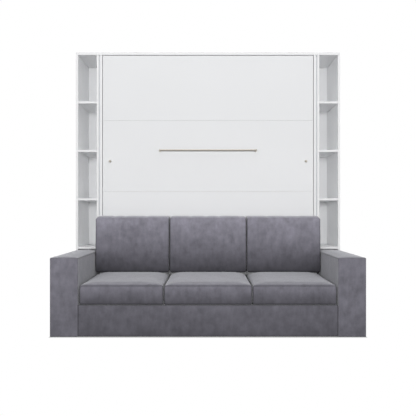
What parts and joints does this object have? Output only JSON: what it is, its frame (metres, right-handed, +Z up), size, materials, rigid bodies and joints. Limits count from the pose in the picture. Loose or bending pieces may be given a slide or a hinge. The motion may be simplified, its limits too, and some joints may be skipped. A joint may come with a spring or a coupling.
{
  "type": "wall bed with sofa",
  "caption": "Upright wall bed behind gloss panels between open shelf towers, folding down over a cushioned sofa with box arms.",
  "frame": {"origin": "on the floor, below the centre of the whole object's box at rest", "axes": "+X to the right as seen by someone facing the sofa, +Y towards the wall, +Z up"},
  "size_m": [2.2, 1.25, 2.2],
  "materials": {
    "white_gloss": "high-gloss white lacquered board",
    "white_board": "satin white melamine-faced board",
    "spacer_grey": "matt pale grey board",
    "birch": "bare birch plywood",
    "nickel": "warm brushed nickel",
    "steel": "zinc-plated steel",
    "black_steel": "black painted steel tube",
    "chrome": "polished chrome rod",
    "velour": "brushed violet-grey velour upholstery",
    "ticking": "off-white quilted mattress ticking"
  },
  "bodies": {
    "cabinet": {"top_board": "white_board", "bed_side_left": "white_board", "bed_side_right": "white_board", "spacer_left": "spacer_grey", "spacer_right": "spacer_grey", "bed_back_panel": "white_board", "bed_bottom_board": "white_board", "bed_plinth": "white_board", "tower_inner_side_left": "white_board", "tower_outer_side_left": "white_board", "tower_back_left": "white_board", "tower_shelf_left_1": "white_board", "tower_shelf_left_2": "white_board", "tower_shelf_left_3": "white_board", "tower_shelf_left_4": "white_board", "tower_bottom_left": "white_board", "tower_inner_side_right": "white_board", "tower_outer_side_right": "white_board", "tower_back_right": "white_board", "tower_shelf_right_1": "white_board", "tower_shelf_right_2": "white_board", "tower_shelf_right_3": "white_board", "tower_shelf_right_4": "white_board", "tower_bottom_right": "white_board", "hinge_bracket_left": "steel", "hinge_bracket_right": "steel", "sofa_arm_left": "velour", "sofa_arm_right": "velour", "sofa_front_panel": "velour", "sofa_seat_frame": "birch", "seat_cushion_left": "velour", "seat_cushion_middle": "velour", "seat_cushion_right": "velour"},
    "bed": {"door_panel_1": "white_gloss", "door_panel_2": "white_gloss", "door_panel_3": "white_gloss", "door_panel_4": "white_gloss", "bed_rail_left": "white_board", "bed_rail_right": "white_board", "bed_head_rail": "white_board", "bed_foot_rail": "white_board", "bed_slat_platform": "birch", "mattress": "ticking", "handle": "nickel", "bed_plate_left": "steel", "bed_plate_right": "steel", "leg_sleeve_left": "steel", "leg_sleeve_right": "steel"},
    "leg_outer_left": {"leg_outer_tube_left": "steel"},
    "leg_outer_right": {"leg_outer_tube_right": "steel"},
    "leg_foot_left": {"leg_foot_tube_left": "nickel"},
    "leg_foot_right": {"leg_foot_tube_right": "nickel"},
    "strut_cylinder_body_left": {"strut_cylinder_left": "black_steel"},
    "strut_cylinder_body_right": {"strut_cylinder_right": "black_steel"},
    "strut_rod_body_left": {"strut_rod_left": "chrome"},
    "strut_rod_body_right": {"strut_rod_right": "chrome"},
    "back_cushion_body_left": {"back_cushion_left": "velour"},
    "back_cushion_body_middle": {"back_cushion_middle": "velour"},
    "back_cushion_body_right": {"back_cushion_right": "velour"}
  },
  "joints": [
    {"name": "bed_fold", "type": "hinge", "parent": "cabinet", "child": "bed", "pos_m": [0, 0.203, 0.44], "axis": [1, 0, 0], "range_deg": [0, 90]},
    {"name": "leg_outer_slide_left", "type": "slide", "parent": "bed", "child": "leg_outer_left", "axis": [0, -1, 0], "range_m": [0, 0.1958]},
    {"name": "leg_outer_slide_right", "type": "slide", "parent": "bed", "child": "leg_outer_right", "axis": [0, -1, 0], "range_m": [0, 0.1958]},
    {"name": "leg_foot_slide_left", "type": "slide", "parent": "leg_outer_left", "child": "leg_foot_left", "axis": [0, -1, 0], "range_m": [0, 0.1958]},
    {"name": "leg_foot_slide_right", "type": "slide", "parent": "leg_outer_right", "child": "leg_foot_right", "axis": [0, -1, 0], "range_m": [0, 0.1958]},
    {"name": "strut_swing_left", "type": "hinge", "parent": "cabinet", "child": "strut_cylinder_body_left", "pos_m": [-0.866, 0.265, 1.05], "axis": [1, 0, 0], "range_deg": [0, 9.13]},
    {"name": "strut_swing_right", "type": "hinge", "parent": "cabinet", "child": "strut_cylinder_body_right", "pos_m": [0.866, 0.265, 1.05], "axis": [1, 0, 0], "range_deg": [0, 9.13]},
    {"name": "strut_slide_left", "type": "slide", "parent": "strut_cylinder_body_left", "child": "strut_rod_body_left", "axis": [0, 0, 1], "range_m": [0, 0.2051]},
    {"name": "strut_slide_right", "type": "slide", "parent": "strut_cylinder_body_right", "child": "strut_rod_body_right", "axis": [0, 0, 1], "range_m": [0, 0.2051]},
    {"name": "back_cushion_put_down_left", "type": "hinge", "parent": "cabinet", "child": "back_cushion_body_left", "pos_m": [0, -0.627, -0.577], "axis": [1, 0, 0], "range_deg": [0, 90]},
    {"name": "back_cushion_put_down_middle", "type": "hinge", "parent": "cabinet", "child": "back_cushion_body_middle", "pos_m": [0, -0.627, -0.577], "axis": [1, 0, 0], "range_deg": [0, 90]},
    {"name": "back_cushion_put_down_right", "type": "hinge", "parent": "cabinet", "child": "back_cushion_body_right", "pos_m": [0, -0.627, -0.577], "axis": [1, 0, 0], "range_deg": [0, 90]}
  ],
  "couplings": [
    {"joint": "leg_foot_slide_left", "follows": "leg_outer_slide_left", "ratio": 1},
    {"joint": "leg_foot_slide_right", "follows": "leg_outer_slide_right", "ratio": 1},
    {"joint": "strut_swing_left", "follows": "bed_fold", "ratio": 0.10137},
    {"joint": "strut_swing_right", "follows": "bed_fold", "ratio": 0.10137},
    {"joint": "strut_slide_left", "follows": "bed_fold", "m_per_rad": 0.13049},
    {"joint": "strut_slide_right", "follows": "bed_fold", "m_per_rad": 0.13049},
    {"joint": "back_cushion_put_down_left", "follows": "bed_fold", "ratio": 1},
    {"joint": "back_cushion_put_down_middle", "follows": "bed_fold", "ratio": 1},
    {"joint": "back_cushion_put_down_right", "follows": "bed_fold", "ratio": 1}
  ]
}
